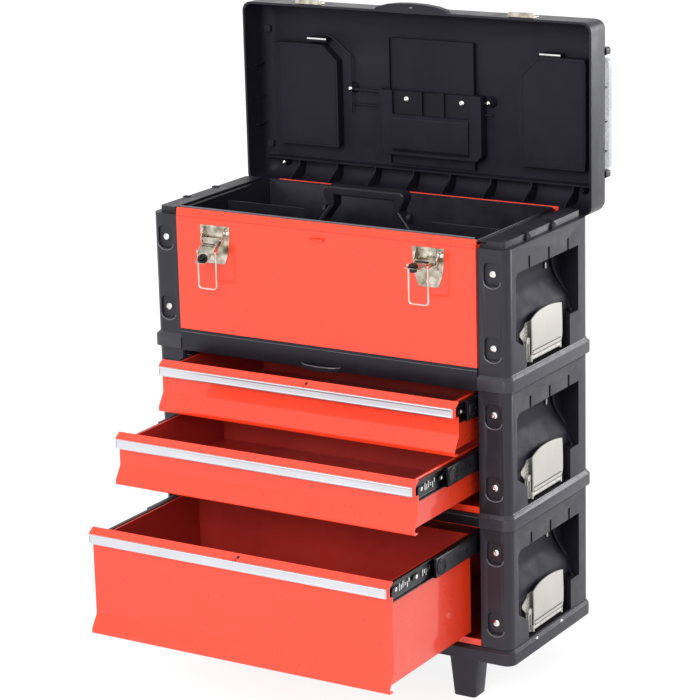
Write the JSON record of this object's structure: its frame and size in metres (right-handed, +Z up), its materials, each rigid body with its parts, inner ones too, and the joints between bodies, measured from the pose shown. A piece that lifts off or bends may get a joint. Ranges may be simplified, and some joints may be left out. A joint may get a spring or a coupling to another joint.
{
  "type": "rolling tool box",
  "caption": "Rolling tool box: latched stack with a hinged lid, lift-out tray and full-extension drawers, on wheels with a telescopic pull handle.",
  "frame": {"origin": "on the floor, at the middle of the part's width and depth with the drawers part out", "axes": "+X to the part's right-hand side as seen from the front, +Y from the drawers to the wheels, +Z up"},
  "size_m": [0.5126, 0.5292, 0.8175],
  "materials": {
    "red_painted_steel": "glossy powder coat",
    "zinc_plated_steel": "zinc plated",
    "nickel_plated_steel": "nickel plated",
    "brushed_aluminium": "extruded, satin",
    "black_moulding": "fine grain",
    "charcoal_moulding": "fine grain",
    "tyre_rubber": "matt",
    "clear_plastic": "clear moulding",
    "dark_lock_metal": "black zinc"
  },
  "bodies": {
    "frame": {"base_frame": "charcoal_moulding", "wheel_axle": "zinc_plated_steel", "bottom_cabinet": "red_painted_steel", "middle_cabinet": "red_painted_steel", "top_box_shell": "red_painted_steel", "bottom_end_frame_left": "charcoal_moulding", "bottom_end_frame_right": "charcoal_moulding", "middle_end_frame_left": "charcoal_moulding", "middle_end_frame_right": "charcoal_moulding", "top_end_frame_left": "charcoal_moulding", "top_end_frame_right": "charcoal_moulding", "top_front_rail": "black_moulding", "middle_front_rail": "black_moulding", "left_latch_plate": "nickel_plated_steel", "right_latch_plate": "nickel_plated_steel", "lid_hinge_leaf": "zinc_plated_steel", "lid_hinge_pin": "zinc_plated_steel", "handle_sleeves": "zinc_plated_steel"},
    "wheel_left": {"left_tyre": "tyre_rubber", "left_hub": "charcoal_moulding"},
    "wheel_right": {"right_tyre": "tyre_rubber", "right_hub": "charcoal_moulding"},
    "lid": {"lid_shell": "black_moulding", "left_keeper": "nickel_plated_steel", "right_keeper": "nickel_plated_steel"},
    "left_cover": {"left_organizer_cover": "clear_plastic"},
    "right_cover": {"right_organizer_cover": "clear_plastic"},
    "carry_handle": {"lid_handle": "charcoal_moulding"},
    "left_lever": {"left_latch_lever": "nickel_plated_steel"},
    "right_lever": {"right_latch_lever": "nickel_plated_steel"},
    "left_bail_wire": {"left_bail": "nickel_plated_steel"},
    "right_bail_wire": {"right_bail": "nickel_plated_steel"},
    "left_lock": {"left_latch_lock": "dark_lock_metal"},
    "right_lock": {"right_latch_lock": "dark_lock_metal"},
    "tray": {"tote_tray": "black_moulding", "tote_handle": "black_moulding"},
    "pull_handle": {"pull_tube": "brushed_aluminium", "pull_grip": "black_moulding"},
    "button": {"release_button": "red_painted_steel"},
    "upper_carriers": {"upper_carrier_left": "zinc_plated_steel", "upper_carrier_right": "zinc_plated_steel"},
    "upper_drawer": {"upper_drawer_box": "red_painted_steel", "upper_drawer_front": "red_painted_steel", "upper_drawer_pull": "brushed_aluminium"},
    "middle_carriers": {"middle_carrier_left": "zinc_plated_steel", "middle_carrier_right": "zinc_plated_steel"},
    "middle_drawer": {"middle_drawer_box": "red_painted_steel", "middle_drawer_front": "red_painted_steel", "middle_drawer_pull": "brushed_aluminium"},
    "deep_carriers": {"deep_carrier_left": "zinc_plated_steel", "deep_carrier_right": "zinc_plated_steel"},
    "deep_drawer": {"deep_drawer_box": "red_painted_steel", "deep_drawer_front": "red_painted_steel", "deep_drawer_pull": "brushed_aluminium"},
    "bottom_side_lever_left": {"bottom_side_latch_left": "nickel_plated_steel"},
    "bottom_side_lever_right": {"bottom_side_latch_right": "nickel_plated_steel"},
    "middle_side_lever_left": {"middle_side_latch_left": "nickel_plated_steel"},
    "middle_side_lever_right": {"middle_side_latch_right": "nickel_plated_steel"},
    "top_side_lever_left": {"top_side_latch_left": "nickel_plated_steel"},
    "top_side_lever_right": {"top_side_latch_right": "nickel_plated_steel"}
  },
  "joints": [
    {"name": "wheel_left_spin", "type": "hinge", "parent": "frame", "child": "wheel_left", "pos_m": [0, 0.21855, 0.046], "axis": [1, 0, 0], "continuous": true},
    {"name": "wheel_right_spin", "type": "hinge", "parent": "frame", "child": "wheel_right", "pos_m": [0, 0.21855, 0.046], "axis": [1, 0, 0], "continuous": true},
    {"name": "upper_drawer_slide", "type": "slide", "parent": "frame", "child": "upper_drawer", "axis": [0, -1, 0], "range_m": [-0.0475, 0.1625]},
    {"name": "upper_carrier_slide", "type": "slide", "parent": "frame", "child": "upper_carriers", "axis": [0, -1, 0], "range_m": [-0.02385, 0.08135]},
    {"name": "middle_drawer_slide", "type": "slide", "parent": "frame", "child": "middle_drawer", "axis": [0, -1, 0], "range_m": [-0.1449, 0.0651]},
    {"name": "middle_carrier_slide", "type": "slide", "parent": "frame", "child": "middle_carriers", "axis": [0, -1, 0], "range_m": [-0.07255, 0.03265]},
    {"name": "deep_drawer_slide", "type": "slide", "parent": "frame", "child": "deep_drawer", "axis": [0, -1, 0], "range_m": [-0.2081, 0.0019]},
    {"name": "deep_carrier_slide", "type": "slide", "parent": "frame", "child": "deep_carriers", "axis": [0, -1, 0], "range_m": [-0.10415, 0.00105]},
    {"name": "lid_hinge", "type": "hinge", "parent": "frame", "child": "lid", "pos_m": [0, 0.17455, 0.569], "axis": [-1, 0, 0], "range_deg": [-90, 0]},
    {"name": "left_cover_hinge", "type": "hinge", "parent": "lid", "child": "left_cover", "pos_m": [0, 0.23205, 0.7681], "axis": [1, 0, 0], "range_deg": [0, 110]},
    {"name": "right_cover_hinge", "type": "hinge", "parent": "lid", "child": "right_cover", "pos_m": [0, 0.23205, 0.7681], "axis": [1, 0, 0], "range_deg": [0, 110]},
    {"name": "lid_handle_hinge", "type": "hinge", "parent": "lid", "child": "carry_handle", "pos_m": [0, 0.22305, 0.686], "axis": [1, 0, 0], "range_deg": [0, 90]},
    {"name": "left_lever_hinge", "type": "hinge", "parent": "frame", "child": "left_lever", "pos_m": [-0.1545, -0.05385, 0.5475], "axis": [-1, 0, 0], "range_deg": [-44, 60]},
    {"name": "left_bail_hinge", "type": "hinge", "parent": "left_lever", "child": "left_bail_wire", "pos_m": [-0.1545, -0.06799, 0.53477], "axis": [-1, 0, 0], "range_deg": [-60.5, 44.5]},
    {"name": "left_lock_turn", "type": "hinge", "parent": "left_lever", "child": "left_lock", "pos_m": [-0.1545, -0.07612, 0.52664], "axis": [0, -0.7071, 0.7071], "range_deg": [0, 90]},
    {"name": "right_lever_hinge", "type": "hinge", "parent": "frame", "child": "right_lever", "pos_m": [0.1495, -0.05385, 0.5505], "axis": [-1, 0, 0], "range_deg": [-83, 21]},
    {"name": "right_bail_hinge", "type": "hinge", "parent": "right_lever", "child": "right_bail_wire", "pos_m": [0.1495, -0.07285, 0.54951], "axis": [-1, 0, 0], "range_deg": [-21.5, 83.5]},
    {"name": "right_lock_turn", "type": "hinge", "parent": "right_lever", "child": "right_lock", "pos_m": [0.1495, -0.08429, 0.54831], "axis": [0, -0.1045, 0.9945], "range_deg": [0, 90]},
    {"name": "bottom_side_latch_left_hinge", "type": "hinge", "parent": "frame", "child": "bottom_side_lever_left", "pos_m": [-0.247, 0.06255, 0.0802], "axis": [0, -1, 0], "range_deg": [0, 100]},
    {"name": "bottom_side_latch_right_hinge", "type": "hinge", "parent": "frame", "child": "bottom_side_lever_right", "pos_m": [0.247, 0.06255, 0.0802], "axis": [0, 1, 0], "range_deg": [0, 100]},
    {"name": "middle_side_latch_left_hinge", "type": "hinge", "parent": "frame", "child": "middle_side_lever_left", "pos_m": [-0.247, 0.06255, 0.2527], "axis": [0, -1, 0], "range_deg": [0, 100]},
    {"name": "middle_side_latch_right_hinge", "type": "hinge", "parent": "frame", "child": "middle_side_lever_right", "pos_m": [0.247, 0.06255, 0.2527], "axis": [0, 1, 0], "range_deg": [0, 100]},
    {"name": "top_side_latch_left_hinge", "type": "hinge", "parent": "frame", "child": "top_side_lever_left", "pos_m": [-0.247, 0.06255, 0.4252], "axis": [0, -1, 0], "range_deg": [0, 100]},
    {"name": "top_side_latch_right_hinge", "type": "hinge", "parent": "frame", "child": "top_side_lever_right", "pos_m": [0.247, 0.06255, 0.4252], "axis": [0, 1, 0], "range_deg": [0, 100]},
    {"name": "tray_lift", "type": "slide", "parent": "frame", "child": "tray", "axis": [0, 0, 1], "range_m": [0, 0.12]},
    {"name": "pull_handle_slide", "type": "slide", "parent": "frame", "child": "pull_handle", "axis": [0, 0, 1], "range_m": [0, 0.38]},
    {"name": "release_button_push", "type": "slide", "parent": "pull_handle", "child": "button", "axis": [0, 0, -1], "range_m": [0, 0.003], "stiffness_N_per_m": 300, "springref_m": -0.003}
  ],
  "couplings": [
    {"joint": "upper_carrier_slide", "follows": "upper_drawer_slide", "ratio": 0.5},
    {"joint": "middle_carrier_slide", "follows": "middle_drawer_slide", "ratio": 0.5},
    {"joint": "deep_carrier_slide", "follows": "deep_drawer_slide", "ratio": 0.5},
    {"joint": "left_bail_hinge", "follows": "left_lever_hinge", "ratio": -1},
    {"joint": "right_bail_hinge", "follows": "right_lever_hinge", "ratio": -1}
  ]
}
